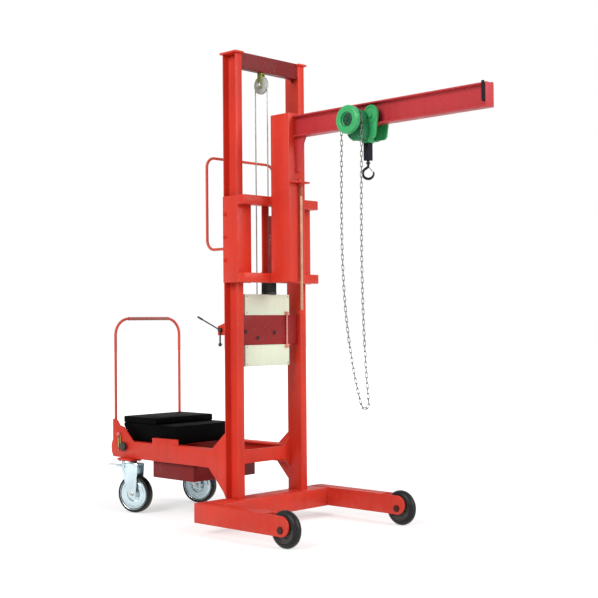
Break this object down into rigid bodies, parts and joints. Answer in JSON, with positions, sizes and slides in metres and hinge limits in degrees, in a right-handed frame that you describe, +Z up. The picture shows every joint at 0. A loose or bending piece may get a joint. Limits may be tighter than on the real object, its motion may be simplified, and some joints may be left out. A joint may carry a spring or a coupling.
{
  "type": "wheeled counterweight mast lifter with jib boom and trolley chain hoist",
  "caption": "Wheeled straddle-leg lifter: a winch raises a carriage with a jib boom along a mast; a trolley chain hoist runs on the boom and counterweights sit behind.",
  "frame": {"origin": "on the floor, under the centre of the overall box", "axes": "+X forward, the way the legs and the boom point; +Y from the near mast channel to the far one; +Z up"},
  "size_m": [2.332, 0.896, 2.323],
  "materials": {
    "frame_red": "satin",
    "carriage_red": "satin",
    "jib_red": "satin",
    "weight_black": "satin paint",
    "winch_cream": "satin",
    "motor_grey": "satin",
    "lever_black": "matte",
    "strap_yellow": "satin",
    "sheave_steel": "satin",
    "rope_steel": "satin",
    "bolt_steel": "satin",
    "front_tyre": "matte",
    "caster_tyre": "matte",
    "caster_zinc": "satin",
    "rod_steel": "satin",
    "stop_black": "matte",
    "hoist_green": "gloss",
    "gear_green": "gloss",
    "block_black": "satin",
    "hook_steel": "satin",
    "chain_zinc": "satin"
  },
  "bodies": {
    "chassis": {"base_beam": "frame_red", "leg_near": "frame_red", "leg_far": "frame_red", "post_near": "frame_red", "post_far": "frame_red", "mast_head": "frame_red", "mast_caps": "frame_red", "mast_tie": "frame_red", "side_frame_near": "frame_red", "side_frame_far": "frame_red", "rear_beam": "frame_red", "caster_pads": "frame_red", "chassis_box": "frame_red", "counterweight_low": "weight_black", "counterweight_top": "weight_black", "push_handle": "frame_red", "mast_handle": "frame_red", "winch_plate": "frame_red", "winch_cover_low": "winch_cream", "winch_cover_top": "winch_cream", "winch_motor": "motor_grey", "lever_bracket": "frame_red", "sheave_bracket": "strap_yellow", "rope_back": "rope_steel", "front_axles": "bolt_steel"},
    "carriage": {"carriage_side_near": "carriage_red", "carriage_side_far": "carriage_red", "carriage_bar_top": "carriage_red", "carriage_bar_low": "carriage_red", "carriage_strips": "carriage_red", "jib_post": "jib_red", "boom": "jib_red", "knee_plate": "jib_red", "boom_stops": "stop_black", "rod_ledge": "jib_red", "hanging_rod": "rod_steel", "rope_anchor": "bolt_steel", "rope_front": "rope_steel"},
    "trolley": {"trolley_frame": "hoist_green", "trolley_wheels": "bolt_steel", "hoist_case": "hoist_green", "hand_wheel_cover": "hoist_green", "hand_wheel": "bolt_steel", "gear_case": "gear_green", "load_block": "block_black", "hand_chain_back": "chain_zinc", "hand_chain_front": "chain_zinc"},
    "hook": {"load_hook": "hook_steel"},
    "sheave": {"head_sheave": "sheave_steel"},
    "lever": {"winch_lever": "lever_black"},
    "wheel_near": {"front_wheel_near": "front_tyre"},
    "wheel_far": {"front_wheel_far": "front_tyre"},
    "fork_near": {"caster_fork_near": "caster_zinc"},
    "fork_far": {"caster_fork_far": "caster_zinc"},
    "caster_near": {"caster_wheel_near": "caster_tyre"},
    "caster_far": {"caster_wheel_far": "caster_tyre"},
    "pedal_near": {"brake_pedal_near": "caster_zinc"},
    "pedal_far": {"brake_pedal_far": "caster_zinc"}
  },
  "joints": [
    {"name": "lift", "type": "slide", "parent": "chassis", "child": "carriage", "axis": [0, 0, 1], "range_m": [-0.56, 0.6], "deforming": ["rope_front"]},
    {"name": "trolley_travel", "type": "slide", "parent": "carriage", "child": "trolley", "axis": [1, 0, 0], "range_m": [-0.28, 0.55]},
    {"name": "hook_swivel", "type": "hinge", "parent": "trolley", "child": "hook", "pos_m": [0.492, -0.027, 1.757], "axis": [0, 0, 1], "continuous": true},
    {"name": "sheave_spin", "type": "hinge", "parent": "chassis", "child": "sheave", "pos_m": [-0.195, -0.036, 2.184], "axis": [0, 1, 0], "continuous": true},
    {"name": "lever_swing", "type": "hinge", "parent": "chassis", "child": "lever", "pos_m": [-0.295, -0.224, 0.966], "axis": [0, 1, 0], "range_deg": [-15, 20]},
    {"name": "wheel_near_roll", "type": "hinge", "parent": "chassis", "child": "wheel_near", "pos_m": [0.317, -0.4045, 0.085], "axis": [0, 1, 0], "continuous": true},
    {"name": "wheel_far_roll", "type": "hinge", "parent": "chassis", "child": "wheel_far", "pos_m": [0.317, 0.4045, 0.085], "axis": [0, 1, 0], "continuous": true},
    {"name": "fork_near_swivel", "type": "hinge", "parent": "chassis", "child": "fork_near", "pos_m": [-1.028, -0.225, 0.268], "axis": [0, 0, 1], "continuous": true},
    {"name": "fork_far_swivel", "type": "hinge", "parent": "chassis", "child": "fork_far", "pos_m": [-1.028, 0.225, 0.268], "axis": [0, 0, 1], "continuous": true},
    {"name": "caster_near_roll", "type": "hinge", "parent": "fork_near", "child": "caster_near", "pos_m": [-0.99166, -0.21389, 0.1], "axis": [-0.2924, 0.9563, 0], "continuous": true},
    {"name": "caster_far_roll", "type": "hinge", "parent": "fork_far", "child": "caster_far", "pos_m": [-0.99229, 0.238, 0.1], "axis": [-0.342, 0.9397, 0], "continuous": true},
    {"name": "pedal_near_tilt", "type": "hinge", "parent": "fork_near", "child": "pedal_near", "pos_m": [-1.04521, -0.23026, 0.244], "axis": [-0.2924, 0.9563, 0], "range_deg": [-14, 0]},
    {"name": "pedal_far_tilt", "type": "hinge", "parent": "fork_far", "child": "pedal_far", "pos_m": [-1.04491, 0.21884, 0.244], "axis": [-0.342, 0.9397, 0], "range_deg": [-14, 0]}
  ],
  "couplings": [
    {"joint": "sheave_spin", "follows": "lift", "rad_per_m": -23.809}
  ]
}
